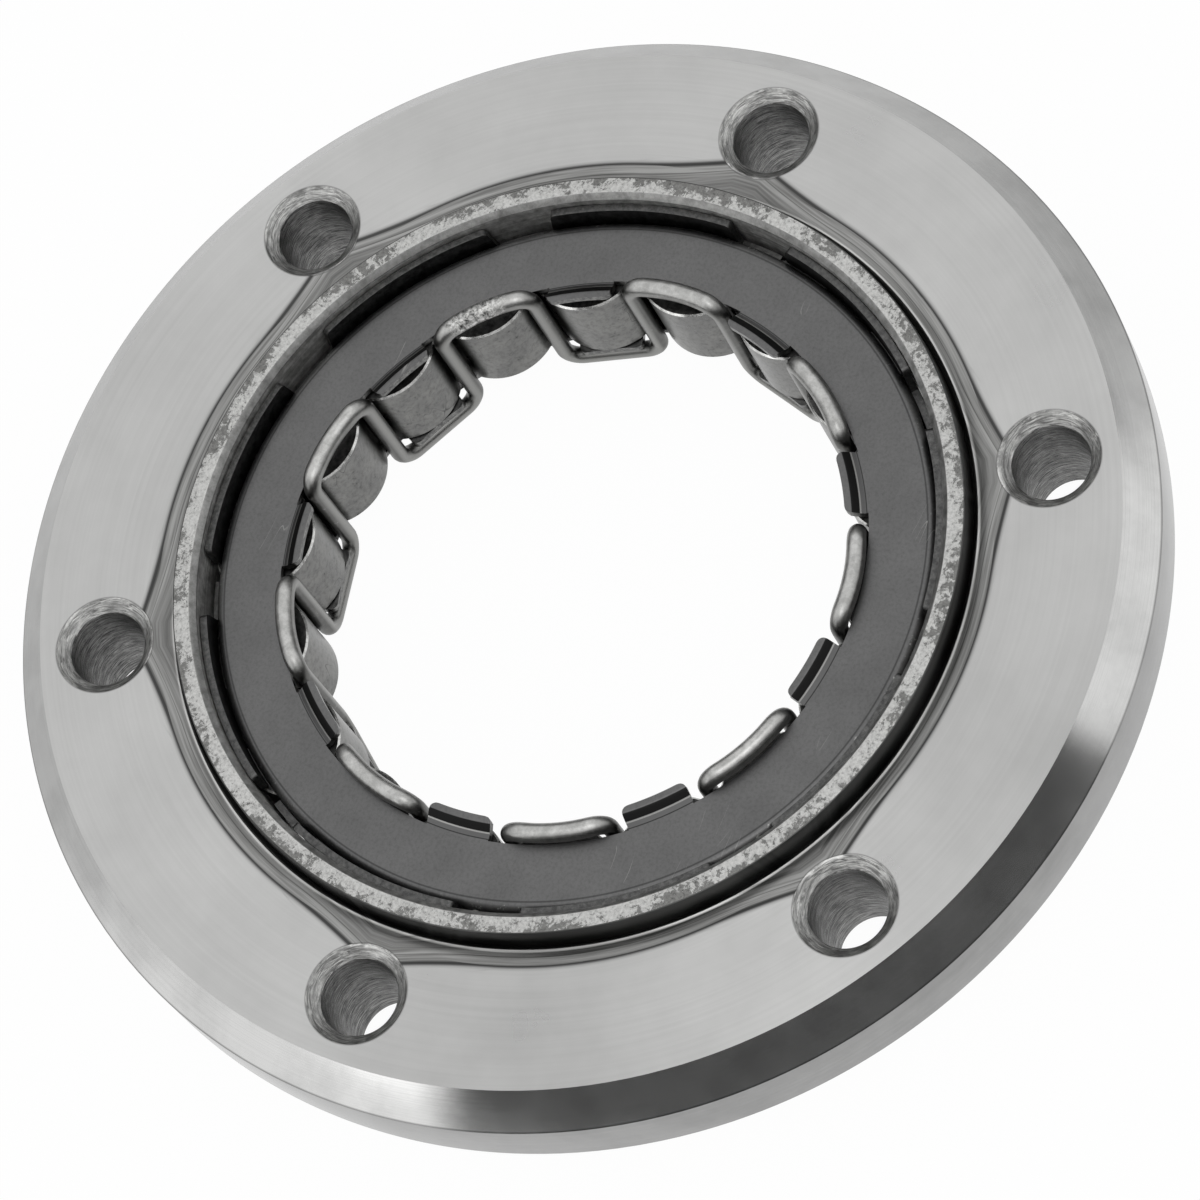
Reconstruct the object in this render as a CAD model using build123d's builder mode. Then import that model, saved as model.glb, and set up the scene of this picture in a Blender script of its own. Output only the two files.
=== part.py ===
"""Sprag clutch for a starter drive: a flanged outer race with a sprag insert in its bore.

Millimetres, +Z up. The origin is the centre of the flange's back face, and hole 1 lies on +X.
"""
import os
from math import atan2, cos, degrees, radians, sin, sqrt, tan

from build123d import *

# Outer race: the bore, then each wall and land outwards to the rim
bore_r = 40.7
bore_edge = 0.6
collar_wall = 2.45
collar_edge = 0.15
collar_lean = 0.2
groove_w = 2.65
sink_land = 0.45
rim_land = 1.85
bevel_w = 3.4

# Heights of the flange and the collar
flange_t = 15.6
front_bevel_h = 3.6
rear_bevel_h = 5.6
collar_h = 2.2
groove_depth = 1.2
groove_arc_r = 2.2

# Flange screws
screw_count = 6
screw_hole_r = 4.2
screw_sink_r = 5.5
screw_sink_h = 1.1

# Sprags: two cam arcs joined by hollow sides, the outer arc centred on the pivot
sprag_pairs = 9
race_space = 11.05
race_gap = 0.1
sprag_len = 10.1
sprag_z = 3.4
inner_cam_r = 6.35
outer_cam_r = 5.5
cam_offset = 1.2
inner_half_angle = 55
outer_half_angle = 44.5
waist_at = 5.65
waist_side = 3.95
waist_other_side = 2.7
sprag_edge = 0.2
first_sprag_angle = 3.5

# Cage sheet and its fits
sheet_t = 0.8
cage_gap = 0.3
nest_gap = 0.1
end_float = 0.3
window_gap = 0.6
slot_gap = 0.05
rim_bend_r = 0.95
bar_w = 3.0
lip_w = 3.4

# Tongues on the inner edge of both plates, raised in front and flat behind
tongue_w = 7.2
tongue_len = 2.3
tongue_tip_gap = 0.3
tongue_root_run = 0.4
tongue_slope_run = 0.55
tongue_slope_rise = 0.37
tongue_step_run = 0.75
tongue_step_rise = 0.63
tongue_corner_r = 0.9

# T-shaped heads of the outer cage
head_angle = 29.5
head_h = 2.6
head_splay = 0.2
head_taper = 0.6
head_root = 1.2
head_corner_r = 0.5

# Meander spring
wire_r = 0.925
wire_bend_r = 1.9
wire_gap = 0.225
wire_rise = 0.275

# Radii worked out from the sizes above
collar_r = bore_r + collar_wall
groove_outer_r = collar_r + groove_w
screw_circle_r = groove_outer_r + sink_land + screw_sink_r
face_r = screw_circle_r + screw_sink_r + rim_land
rim_r = face_r + bevel_w
inner_reach_r = bore_r - race_space
inner_cam_at = inner_reach_r + inner_cam_r
pivot_r = bore_r - race_gap - outer_cam_r
waist_r = inner_reach_r + waist_at
outer_cage_r = bore_r - cage_gap
outer_wall_r = outer_cage_r - sheet_t / 2
inner_cage_r = outer_cage_r - sheet_t - nest_gap
inner_wall_r = inner_cage_r - sheet_t / 2
tongue_tip_r = inner_reach_r + tongue_tip_gap
plate_bore_r = tongue_tip_r + tongue_len
wire_path_r = plate_bore_r - wire_gap - wire_r

# Heights
collar_top = flange_t + collar_h
window_bottom = sprag_z - end_float
window_top = sprag_z + sprag_len + end_float
plate_bottom = window_bottom - sheet_t
plate_top = window_top + sheet_t
plate_mid_z = plate_top - sheet_t / 2
lip_z = plate_bottom - slot_gap - sheet_t / 2
head_top = window_top + head_h
front_wire_z = plate_top + wire_rise + wire_r
rear_wire_z = plate_bottom - wire_rise - wire_r

# Angles
sprag_count = 2 * sprag_pairs
sprag_pitch = 360 / sprag_count
pair_pitch = 2 * sprag_pitch
pivot_angle = degrees(atan2(cam_offset, pivot_r))
bar_angle = first_sprag_angle + pivot_angle + sprag_pitch / 2
tongue_angle = first_sprag_angle + sprag_pitch
first_gap_angle = first_sprag_angle + 1.5 * sprag_pitch

# A cutter that passes right through a cage wall, half of it each side
cutter_w = 4 * sheet_t

os.makedirs("parts", exist_ok=True)

# Outer race, flange and collar in one turned piece
groove_mid_r = groove_outer_r - sqrt(groove_arc_r**2 - (groove_arc_r - groove_depth) ** 2)
groove_mid_z = flange_t - groove_depth + groove_arc_r
foot_r = collar_r + collar_lean
foot_z = groove_mid_z - sqrt(groove_arc_r**2 - (groove_mid_r - foot_r) ** 2)

with BuildPart() as flange_housing:
    with BuildSketch(Plane.XZ):
        with BuildLine():
            Polyline(
                (foot_r, foot_z),
                (collar_r, collar_top - collar_edge),
                (collar_r - collar_edge, collar_top),
                (bore_r + bore_edge, collar_top),
                (bore_r, collar_top - bore_edge),
                (bore_r, bore_edge),
                (bore_r + bore_edge, 0),
                (face_r, 0),
                (rim_r, rear_bevel_h),
                (rim_r, flange_t - front_bevel_h),
                (face_r, flange_t),
                (groove_outer_r, flange_t),
            )
            RadiusArc((groove_outer_r, flange_t), (foot_r, foot_z), groove_arc_r)
        make_face()
    revolve(axis=Axis.Z)
    with PolarLocations(screw_circle_r, screw_count):
        Hole(screw_hole_r)
        with Locations((0, 0, flange_t)):
            Cone(
                screw_hole_r,
                screw_sink_r,
                screw_sink_h,
                align=(Align.CENTER, Align.CENTER, Align.MAX),
                mode=Mode.SUBTRACT,
            )
        Cone(
            screw_sink_r,
            screw_hole_r,
            screw_sink_h,
            align=(Align.CENTER, Align.CENTER, Align.MIN),
            mode=Mode.SUBTRACT,
        )
flange_housing.part.label = "flange_housing"
export_step(flange_housing.part, "parts/flange_housing.step")

# One front tongue: the sheet slopes up near the plate's edge, steps up again and ends in a flat tip
slope_start_r = plate_bore_r - tongue_root_run
slope_end_r = slope_start_r - tongue_slope_run
slope_end_z = plate_mid_z + tongue_slope_rise
tip_z = slope_end_z + tongue_step_rise
with BuildPart() as tongue:
    with BuildSketch(Plane.XZ):
        with BuildLine():
            Polyline(
                (plate_bore_r + sheet_t, plate_mid_z),
                (slope_start_r, plate_mid_z),
                (slope_end_r, slope_end_z),
                (slope_end_r - tongue_step_run, tip_z),
                (tongue_tip_r, tip_z),
            )
        trace(line_width=sheet_t)
    extrude(amount=tongue_w / 2, both=True)
    fillet(tongue.edges().filter_by(Axis.Z).group_by(Axis.X)[0], tongue_corner_r)

# Inner cage: front plate, rounded rim and the bars that reach the rear plate
bar_window = 2 * inner_cage_r * sin(radians(sprag_pitch / 2)) - bar_w
with BuildPart() as inner_cage:
    with BuildSketch(Plane.XZ):
        with BuildLine():
            FilletPolyline(
                (plate_bore_r, plate_mid_z),
                (inner_wall_r, plate_mid_z),
                (inner_wall_r, plate_bottom),
                radius=rim_bend_r - sheet_t / 2,
            )
        trace(line_width=sheet_t)
    revolve(axis=Axis.Z)
    with BuildSketch(Plane.XY.offset(plate_bottom)):
        with PolarLocations(inner_cage_r, sprag_count, start_angle=bar_angle + sprag_pitch / 2):
            Rectangle(cutter_w, bar_window)
    extrude(amount=plate_top - rim_bend_r - plate_bottom, mode=Mode.SUBTRACT)
    with PolarLocations(0, sprag_pairs, start_angle=tongue_angle):
        add(tongue.part)
inner_cage.part.label = "inner_cage"
export_step(inner_cage.part, "parts/inner_cage.step")

# Rear plate: closes the cage, notched for the bars, its flat tongues between the sprags and the wire
flat_tongue_len = plate_bore_r + 2 * tongue_corner_r - tongue_tip_r
with BuildPart() as rear_plate:
    with BuildSketch(Plane.XY.offset(plate_bottom)):
        Circle(inner_cage_r)
        Circle(plate_bore_r, mode=Mode.SUBTRACT)
        with PolarLocations(inner_cage_r, sprag_count, start_angle=bar_angle):
            Rectangle(2 * (sheet_t + slot_gap), bar_w + 2 * slot_gap, mode=Mode.SUBTRACT)
        with PolarLocations(0, sprag_pairs, start_angle=tongue_angle):
            with Locations((tongue_tip_r + flat_tongue_len / 2, 0)):
                RectangleRounded(flat_tongue_len, tongue_w, tongue_corner_r)
    extrude(amount=sheet_t)
rear_plate.part.label = "rear_plate"
export_step(rear_plate.part, "parts/rear_plate.step")

# Outer cage: rear ring with its lip under the rear plate, posts, and T-shaped heads in front
window_half = sqrt(outer_cam_r**2 - (outer_cage_r - sheet_t - pivot_r) ** 2) + window_gap
gap_half = outer_cage_r * sin(radians((pair_pitch - head_angle) / 2))
with BuildPart() as outer_cage:
    with BuildSketch(Plane.XZ):
        with BuildLine():
            FilletPolyline(
                (outer_cage_r - lip_w, lip_z),
                (outer_wall_r, lip_z),
                (outer_wall_r, window_top),
                radius=rim_bend_r - sheet_t / 2,
            )
            Line((outer_wall_r, window_top), (outer_wall_r + head_splay, head_top))
        trace(line_width=sheet_t)
    revolve(axis=Axis.Z)
    with BuildSketch(Plane.XY.offset(window_bottom)):
        with PolarLocations(0, sprag_count, start_angle=first_sprag_angle):
            with Locations((outer_cage_r, cam_offset)):
                Rectangle(cutter_w, 2 * window_half)
    extrude(amount=window_top - window_bottom, mode=Mode.SUBTRACT)
    for number in range(sprag_pairs):
        gap_angle = first_gap_angle + number * pair_pitch
        with BuildSketch(Plane.YZ.rotated((0, 0, gap_angle)).offset(outer_cage_r - cutter_w / 2)):
            with BuildLine():
                Polyline(
                    (-gap_half + head_taper, window_top - head_root),
                    (gap_half - head_taper, window_top - head_root),
                    (gap_half, head_top + sheet_t),
                    (-gap_half, head_top + sheet_t),
                    close=True,
                )
            make_face()
        extrude(amount=cutter_w, mode=Mode.SUBTRACT)
    head_edges = outer_cage.edges().filter_by(lambda edge: edge.center().Z > head_top - head_corner_r)
    fillet(head_edges.group_by(Edge.length)[0], head_corner_r)
outer_cage.part.label = "outer_cage"
export_step(outer_cage.part, "parts/outer_cage.step")

# Meander spring: one period of round wire, from one rear crossing's middle to the next.
# The rear crossings are straight and the front ones bow outwards along the plate's edge.
leg_angle = sprag_pitch / 2
leg_turn = radians(leg_angle)
crown_r = wire_path_r / cos(leg_turn)
bow_start_x = wire_path_r * cos(leg_turn) + wire_bend_r * sin(leg_turn)
bow_start_y = wire_path_r * sin(leg_turn) - wire_bend_r * cos(leg_turn)
bow_r = bow_start_x + bow_start_y * tan(leg_turn / 2)


def wire_point(angle, height, radius=wire_path_r):
    """A point of the wire's path at an angle from the middle of the front crossing."""
    turn = radians(first_sprag_angle + angle)
    return Vector(radius * cos(turn), radius * sin(turn), height)


def bend(before, corner, after):
    """The start, middle and end of a right-angled bend of the wire at a corner."""
    back = (before - corner).normalized() * wire_bend_r
    ahead = (after - corner).normalized() * wire_bend_r
    return corner + back, corner + (back + ahead) * (1 - sqrt(0.5)), corner + ahead


crown = wire_point(0, front_wire_z, crown_r)
bow_middle = wire_point(0, front_wire_z, bow_r)
left_foot, left_head = [wire_point(leg_angle, z) for z in (rear_wire_z, front_wire_z)]
right_foot, right_head = [wire_point(-leg_angle, z) for z in (rear_wire_z, front_wire_z)]
crossing_start = (wire_point(-3 * leg_angle, rear_wire_z) + right_foot) / 2
crossing_end = (wire_point(3 * leg_angle, rear_wire_z) + left_foot) / 2
first_bend = bend(crossing_start, right_foot, right_head)
second_bend = bend(right_foot, right_head, crown)
third_bend = bend(crown, left_head, left_foot)
fourth_bend = bend(left_head, left_foot, crossing_end)
with BuildPart() as meander_spring:
    with BuildLine() as path:
        Line(crossing_start, first_bend[0])
        ThreePointArc(*first_bend)
        Line(first_bend[2], second_bend[0])
        ThreePointArc(*second_bend)
        ThreePointArc(second_bend[2], bow_middle, third_bend[0])
        ThreePointArc(*third_bend)
        Line(third_bend[2], fourth_bend[0])
        ThreePointArc(*fourth_bend)
        Line(fourth_bend[2], crossing_end)
    with BuildSketch(Plane(origin=crossing_start, z_dir=right_foot - crossing_start)):
        Circle(wire_r)
    sweep(path=path.wire(), mode=Mode.ADD)
    period = meander_spring.part
    with PolarLocations(0, sprag_pairs):
        add(period)
meander_spring.part.label = "meander_spring"
export_step(meander_spring.part, "parts/meander_spring.step")

# Sprags: one section, placed once for each station round the cage
inner_turn = radians(inner_half_angle)
outer_turn = radians(outer_half_angle)
inner_end = (inner_cam_at - inner_cam_r * cos(inner_turn), inner_cam_r * sin(inner_turn))
other_inner_end = (inner_end[0], -inner_end[1])
outer_end = (pivot_r + outer_cam_r * cos(outer_turn), cam_offset + outer_cam_r * sin(outer_turn))
other_outer_end = (outer_end[0], 2 * cam_offset - outer_end[1])
for number in range(sprag_count):
    sprag_name = f"sprag_{number + 1:02d}"
    sprag_plane = Plane.XY.offset(sprag_z).rotated((0, 0, first_sprag_angle + number * sprag_pitch))
    with BuildPart() as sprag:
        with BuildSketch(sprag_plane):
            with BuildLine():
                ThreePointArc(other_inner_end, (inner_reach_r, 0), inner_end)
                ThreePointArc(inner_end, (waist_r, waist_side), outer_end)
                ThreePointArc(outer_end, (pivot_r + outer_cam_r, cam_offset), other_outer_end)
                ThreePointArc(other_outer_end, (waist_r, -waist_other_side), other_inner_end)
            make_face()
        extrude(amount=sprag_len)
        chamfer(sprag.faces().filter_by(Axis.Z).edges(), sprag_edge)
    sprag.part.label = sprag_name
    export_step(sprag.part, f"parts/{sprag_name}.step")

print("sprag pivot: radius", round(pivot_r, 3), "mm,", round(pivot_angle, 4), "degrees ahead of the tip")
print("spring wire: from", round(rear_wire_z - wire_r, 2), "to", round(front_wire_z + wire_r, 2), "mm")
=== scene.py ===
import math
import bmesh
import bpy
import numpy as np
from mathutils import Matrix, Vector


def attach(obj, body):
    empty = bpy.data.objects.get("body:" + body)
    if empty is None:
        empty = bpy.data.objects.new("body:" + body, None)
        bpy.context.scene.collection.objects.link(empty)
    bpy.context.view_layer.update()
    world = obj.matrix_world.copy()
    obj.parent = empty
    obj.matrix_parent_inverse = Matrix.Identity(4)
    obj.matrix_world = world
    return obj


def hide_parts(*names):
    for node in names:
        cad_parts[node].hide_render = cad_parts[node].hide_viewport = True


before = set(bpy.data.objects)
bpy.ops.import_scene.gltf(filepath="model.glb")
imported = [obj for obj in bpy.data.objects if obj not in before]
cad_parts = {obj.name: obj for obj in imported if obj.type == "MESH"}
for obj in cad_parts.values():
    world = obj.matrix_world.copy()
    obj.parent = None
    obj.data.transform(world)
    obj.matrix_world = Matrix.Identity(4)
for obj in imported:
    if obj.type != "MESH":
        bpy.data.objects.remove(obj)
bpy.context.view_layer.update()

# lengths in this file are millimetres and turn to metres where a mesh, lamp or camera is made
mm = 0.001
scene = bpy.context.scene


# arrays and meshes

def unit(v):
    return v / np.linalg.norm(v, axis=-1, keepdims=True)


def polar(radius, turn):
    # x = r cos a, y = r sin a
    return np.stack([radius * np.cos(turn), radius * np.sin(turn)], -1)


def lifted(flat, z):
    # points (x, y) given a height, one for all or one each
    return np.concatenate([flat, np.broadcast_to(z, flat.shape[:-1])[..., None]], -1)


def lathe(profile, turn):
    # every profile point (r, z) carried round the axis: x = r cos a, y = r sin a
    return lifted(polar(profile[:, 0, None], turn), profile[:, 1, None])


def turned(points, degrees):
    # points turned about the Z axis: x' = x cos a - y sin a, y' = x sin a + y cos a
    a = math.radians(degrees)
    spin = np.array([[math.cos(a), -math.sin(a), 0], [math.sin(a), math.cos(a), 0], [0, 0, 1]])
    return points @ spin.T


def rounded(corners, radii, steps=4):
    # an outline with each corner turned to an arc of its own radius; a radius of 0 keeps it sharp
    corners = [np.array(c, float) for c in corners]
    out = []
    for k, (corner, radius) in enumerate(zip(corners, radii)):
        if radius == 0 or k in (0, len(corners) - 1):
            out.append(corner)
            continue
        back, ahead = unit(corners[k - 1] - corner), unit(corners[k + 1] - corner)
        half = math.acos(np.clip(back @ ahead, -1, 1)) / 2
        middle = corner + unit(back + ahead) * radius / math.sin(half)
        first, last = (corner + way * radius / math.tan(half) - middle for way in (back, ahead))
        start = math.atan2(first[1], first[0])
        sweep = (math.atan2(last[1], last[0]) - start + math.pi) % (2 * math.pi) - math.pi
        out.extend(middle + polar(radius, start + sweep * np.linspace(0, 1, steps + 1)))
    return np.array(out)


def arcThrough(a, b, c, steps):
    # the circle through three points, from a to c by way of b
    a, b, c = (np.array(p, float) for p in (a, b, c))
    middle = np.linalg.solve(2 * np.array([b - a, c - a]), [b @ b - a @ a, c @ c - a @ a])
    angles = np.unwrap([math.atan2(*(p - middle)[::-1]) for p in (a, b, c)])
    return middle + polar(np.linalg.norm(a - middle), np.linspace(angles[0], angles[2], steps + 1))


def inset(loop, amount):
    # a closed outline moved inwards along its own normals
    along = unit(np.roll(loop, -1, 0) - np.roll(loop, 1, 0))
    return loop + amount * np.stack([-along[:, 1], along[:, 0]], -1)


def gridFaces(rows, columns, closed=False, keep=None):
    # the four corners of each cell of a grid of points, row by row
    i = np.arange(rows - 1)[:, None] * columns
    j = np.arange(columns if closed else columns - 1)
    after = (j + 1) % columns
    cells = np.stack([i + j, i + after, i + columns + after, i + columns + j], -1)
    return cells.reshape(-1, 4) if keep is None else cells[keep]


def patch(points, closed=False, keep=None, slot=0):
    # a grid of points as loose vertices and faces, with the material slot its faces take
    return {"points": points.reshape(-1, 3), "faces": gridFaces(*points.shape[:2], closed, keep), "slot": slot}


def repeated(patches, angles):
    return [{**p, "points": turned(p["points"], a)} for a in angles for p in patches]


def meshObject(name, points, faces):
    mesh = bpy.data.meshes.new(name)
    mesh.from_pydata((np.array(points) * mm).tolist(), [], np.array(faces).tolist())
    made = bpy.data.objects.new(name, mesh)
    scene.collection.objects.link(made)
    return made


def pointValues(mesh, name, values):
    mesh.attributes.new(name, "FLOAT", "POINT").data.foreach_set("value", values.astype(np.float32))


def weld(mesh):
    # points within two microns of each other become one
    work = bmesh.new()
    work.from_mesh(mesh)
    bmesh.ops.remove_doubles(work, verts=work.verts[:], dist=0.002 * mm)
    bmesh.ops.delete(work, geom=[v for v in work.verts if not v.link_faces], context="VERTS")
    bmesh.ops.recalc_face_normals(work, faces=work.faces[:])
    work.to_mesh(mesh)
    work.free()


def makePiece(name, patches, looks, body, nodes, sharpDeg=35):
    # joins the patches into one welded mesh that stands for its CAD node
    starts = np.cumsum([0] + [len(p["points"]) for p in patches])
    points = np.concatenate([p["points"] for p in patches])
    faces = np.concatenate([p["faces"] + s for p, s in zip(patches, starts)])
    slots = np.concatenate([np.full(len(p["faces"]), p["slot"]) for p in patches])
    made = meshObject(name, points, faces)
    mesh = made.data
    for look in looks:
        mesh.materials.append(look)
    mesh.polygons.foreach_set("material_index", slots.astype(np.int32))
    mesh.polygons.foreach_set("use_smooth", np.ones(len(faces), bool))
    weld(mesh)
    mesh.set_sharp_from_angle(angle=math.radians(sharpDeg))
    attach(made, body)
    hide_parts(*nodes)
    print(name, len(mesh.vertices), "points", len(mesh.polygons), "faces")
    return made


# nodes

def linear(hexColour):
    # sRGB hex to linear light: below 0.04045 divide by 12.92, above it the 2.4 power
    parts = np.array([int(hexColour[i:i + 2], 16) / 255 for i in (1, 3, 5)])
    light = np.where(parts <= 0.04045, parts / 12.92, ((parts + 0.055) / 1.055) ** 2.4)
    return (*(float(x) for x in light), 1.0)


def addNode(tree, kind, inputs=(), out=0, **settings):
    # adds a node and gives one of its outputs. An input is a value or another node's output, listed in the order of the
    # sockets or given by name or number; settings are the node's own properties, and stops are a colour ramp's
    made = tree.nodes.new("ShaderNode" + kind)
    for key, value in settings.items():
        if key == "stops":
            ramp = made.color_ramp.elements
            while len(ramp) < len(value):
                ramp.new(0.5)
            for i, (place, tone) in enumerate(value):
                ramp[i].position = place
                ramp[i].color = linear(tone)
        else:
            setattr(made, key, value)
    for key, value in inputs.items() if isinstance(inputs, dict) else enumerate(inputs):
        if isinstance(value, bpy.types.NodeSocket):
            tree.links.new(value, made.inputs[key])
        else:
            made.inputs[key].default_value = value
    return made.outputs[out] if len(made.outputs) else None


# camera, floor, cards and lamps

cameraView = {
    "place": (-155.32, -245.87, 521.61),
    "aim": (-3.70, -5.76, 15.6),
    "rollDeg": -35.682,
    "lensMm": 167.37,
    "sensorMm": 36,
}


def makeCamera():
    place = Vector(cameraView["place"]) * mm
    sight = Vector(cameraView["aim"]) * mm - place
    turn = sight.to_track_quat("-Z", "Y").to_matrix().to_4x4()
    roll = Matrix.Rotation(math.radians(cameraView["rollDeg"]), 4, "Z")
    data = bpy.data.cameras.new("photoCamera")
    data.lens = cameraView["lensMm"]
    data.sensor_width = cameraView["sensorMm"]
    data.clip_start = 0.01
    data.clip_end = 20
    made = bpy.data.objects.new("photoCamera", data)
    scene.collection.objects.link(made)
    made.matrix_world = Matrix.Translation(place) @ turn @ roll
    scene.camera = made


stageLook = {"floorTone": "#f4f4f4", "floorGlow": 0.97, "floorHalf": 3000, "floorZ": -0.02, "tentLight": 0.75}


def seenBy(tree, *rayNames):
    # 1 for the named kinds of ray, 0 for all other light
    rays = addNode(tree, "LightPath").node.outputs
    seen = rays[rayNames[0]]
    for name in rayNames[1:]:
        seen = addNode(tree, "Math", (seen, rays[name]), operation="MAXIMUM")
    return seen


def makeFloor():
    # pale paper: mostly its own white to the camera, the rest takes the lamps and the part's soft shadow
    half, z = stageLook["floorHalf"], stageLook["floorZ"]
    corners = [(-half, -half, z), (half, -half, z), (half, half, z), (-half, half, z)]
    floor = meshObject("paperFloor", corners, [(0, 1, 2, 3)])
    look = bpy.data.materials.new("paleSeamlessPaper")
    look.use_nodes = True
    tree = look.node_tree
    tree.nodes.clear()
    paper = addNode(tree, "BsdfDiffuse", {"Color": linear(stageLook["floorTone"])})
    glow = addNode(tree, "Emission", {"Color": (1, 1, 1, 1), "Strength": 1.0})
    seen = seenBy(tree, "Is Camera Ray", "Is Glossy Ray")
    share = addNode(tree, "Math", (seen, stageLook["floorGlow"]), operation="MULTIPLY")
    addNode(tree, "OutputMaterial", {"Surface": addNode(tree, "MixShader", (share, paper, glow))})
    floor.data.materials.append(look)


def makeWorld():
    # a plain pale tent that lights the part, and white to the camera, to metal and to glass
    world = bpy.data.worlds.new("lightTent")
    world.use_nodes = True
    scene.world = world
    tree = world.node_tree
    tree.nodes.clear()
    tent = addNode(tree, "Background", {"Color": (1, 1, 1, 1), "Strength": stageLook["tentLight"]})
    white = addNode(tree, "Background", {"Color": (1, 1, 1, 1), "Strength": 1.0})
    seen = seenBy(tree, "Is Camera Ray", "Is Glossy Ray", "Is Transmission Ray")
    addNode(tree, "OutputWorld", {"Surface": addNode(tree, "MixShader", (seen, tent, white))})


# cards round the part that only its reflections see, each a line (r, z) in mm swept round the axis. The dark one
# stands on the camera's side, the grey one behind the part and a paler one flat on the floor there, and the two
# windows left between them keep the bevel's ends bright. cover gives stops of azimuth in degrees and how solid the
# card is there, so that its ends fade and the floor shines through its middle
cards = [
    {"name": "darkCard", "tone": "#535353", "line": [(900, 90), (900, 560)],
     "cover": [(172, 0), (175, 1), (283, 1), (286, 0)]},
    {"name": "greyCard", "tone": "#868686", "line": [(900, 40), (900, 500)],
     "cover": [(322, 0), (332, 1), (456, 1), (476, 0)]},
    {"name": "paperCard", "tone": "#d2d2d2", "line": [(72, 0.5), (880, 0.5)],
     "cover": [(318, 0), (332, 1), (344, 1), (357, 0.75), (373, 0.65), (398, 0.64), (412, 0.6), (424, 0.6),
               (434, 0.7), (450, 0.7), (458, 0.8), (484, 0.86), (500, 0)]},
]

# narrow flags overhead: each dims the face along one radius, turnDeg, by standing where that radius throws its shine
flags = [
    {"name": "flagNear", "turnDeg": 88, "tiltsDeg": (-17, -8), "width": 80, "reach": 880, "tone": "#8a8a8a"},
    {"name": "flagFar", "turnDeg": 17, "tiltsDeg": (-17, -8), "width": 80, "reach": 880, "tone": "#8a8a8a"},
]


def hangCard(card, rows, cover):
    # rows are the card's two long edges; cover runs from 0, clear, to 1, solid
    made = meshObject(card["name"], np.concatenate(rows), gridFaces(2, len(cover)))
    pointValues(made.data, "cover", np.tile(cover, 2))
    look = bpy.data.materials.new(card["name"] + "Felt")
    look.use_nodes = True
    tree = look.node_tree
    felt = tree.nodes["Principled BSDF"].inputs
    felt["Base Color"].default_value = linear(card["tone"])
    felt["Roughness"].default_value = 0.9
    tree.links.new(addNode(tree, "Attribute", out="Fac", attribute_name="cover"), felt["Alpha"])
    made.data.materials.append(look)
    made.visible_camera = False
    made.visible_diffuse = False
    made.visible_shadow = False


cardSteps = 60


def makeCards():
    # x = r cos a, y = r sin a along each card's line, with a from its first stop to its last
    for card in cards:
        stops = np.array(card["cover"])
        degrees = np.linspace(stops[0, 0], stops[-1, 0], cardSteps + 1)
        rows = [lifted(polar(r, np.radians(degrees)), z) for r, z in card["line"]]
        hangCard(card, rows, np.interp(degrees, stops[:, 0], stops[:, 1]))


def makeFlags():
    # a face tilted by t towards the radius u, n = u sin t + z cos t, reflects the camera's direction v to 2 (n.v) n - v
    view = unit(np.array(cameraView["place"]) - np.array(cameraView["aim"]))
    for flag in flags:
        a = math.radians(flag["turnDeg"])
        tilts = np.radians(np.linspace(*flag["tiltsDeg"], 7))[:, None]
        normal = np.sin(tilts) * [math.cos(a), math.sin(a), 0] + np.cos(tilts) * [0, 0, 1]
        line = flag["reach"] * (2 * (normal @ view)[:, None] * normal - view)
        across = unit(np.cross(line[-1] - line[0], line[len(line) // 2])) * flag["width"] / 2
        hangCard(flag, [line - across, line + across], np.ones(len(line)))


lamps = [
    {"name": "frontSoftbox", "place": (-150, -238, 850), "size": 420, "power": 0.7},
    {"name": "sideSoftbox", "place": (-850, 300, 290), "size": 300, "power": 0.25},
]


def makeLamps():
    for lamp in lamps:
        data = bpy.data.lights.new(lamp["name"], "AREA")
        data.shape = "SQUARE"
        data.size = lamp["size"] * mm
        data.energy = lamp["power"]
        made = bpy.data.objects.new(lamp["name"], data)
        made.location = Vector(lamp["place"]) * mm
        made.rotation_euler = (-Vector(lamp["place"])).to_track_quat("-Z", "Y").to_euler()
        scene.collection.objects.link(made)


scene.view_settings.view_transform = "Standard"
makeCamera()
makeFloor()
makeWorld()
makeCards()
makeFlags()
makeLamps()
print("camera, floor and lights are in")


# outer race: turned flange, collar and bore

housing = {
    "boreR": 40.7, "boreEdge": 0.6, "boreMidZ": 9.0,
    "collarR": 43.15, "collarTop": 17.8, "collarLean": 0.2, "collarEdge": 0.15,
    "faceR": 59.1, "faceZ": 15.6, "rimR": 62.5, "frontBevel": 3.6, "rearBevel": 5.6, "edgeRound": 0.12,
    "holes": 6, "fanR": 41.3, "holeCircleR": 51.75, "holeR": 4.2, "sinkR": 5.5, "sinkH": 1.1, "sinkRings": 7,
    # the groove's section, from its outer edge inwards: r and z from that edge, and the corner's radius
    "grooveR": 45.8, "footZ": 14.5,
    "groove": [(0, 0, 0), (-0.4, -0.1, 0.8), (-1.05, -0.24, 0.4), (-1.55, -0.35, 0.2), (-1.85, -0.28, 0.06)],
    # where the face rolls off into the groove, further out beside each hole
    "flare": 1.5, "flareReachDeg": 15.5, "flareTopDeg": 3.6, "flarePower": 2.1, "reliefWidth": 0.9, "reliefDepth": 0.12,
    "arcSteps": 60, "sideSteps": 26, "faceRings": 30, "backRings": 8, "wallRings": 8,
}
raceSlot = {"face": 0, "edge": 1, "collar": 2, "groove": 3, "hole": 4, "bore": 5}


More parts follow.
